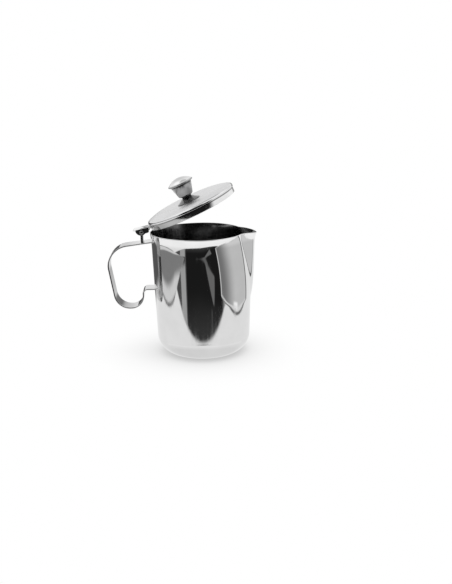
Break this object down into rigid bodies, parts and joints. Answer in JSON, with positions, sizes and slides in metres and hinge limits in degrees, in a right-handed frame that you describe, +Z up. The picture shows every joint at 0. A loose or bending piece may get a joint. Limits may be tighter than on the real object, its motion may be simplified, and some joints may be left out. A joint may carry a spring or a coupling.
{
  "type": "hot milk jug",
  "caption": "Round polished steel hot milk jug with a pinched pouring lip, a bent strap handle and a hinged lid worked by a thumb lever, with a turned knob.",
  "frame": {"origin": "centre of the flat underside the jug stands on", "axes": "+Z up along the jug's axis, +X towards the pouring lip, -X towards the handle and hinge"},
  "size_m": [0.1649, 0.1136, 0.1971],
  "materials": {
    "polished_steel": "mirror-polished stainless steel",
    "satin_steel": "satin stainless steel",
    "black_collar": "black heat-proof plastic"
  },
  "bodies": {
    "jug": {"jug_body": "polished_steel", "handle_strap": "polished_steel", "hinge_knuckle": "polished_steel"},
    "lid": {"lid_shell": "satin_steel", "lid_skirt": "polished_steel", "thumb_lever": "polished_steel", "hinge_pin": "polished_steel", "knob_foot": "polished_steel", "knob_ring": "black_collar", "knob_bell": "polished_steel", "knob_cap": "polished_steel", "knob_washer": "satin_steel", "knob_screw": "satin_steel"}
  },
  "joints": [
    {"name": "lid_hinge", "type": "hinge", "parent": "jug", "child": "lid", "pos_m": [-0.0657, 0, 0.1374], "axis": [0, -1, 0], "range_deg": [-24, 66]}
  ]
}
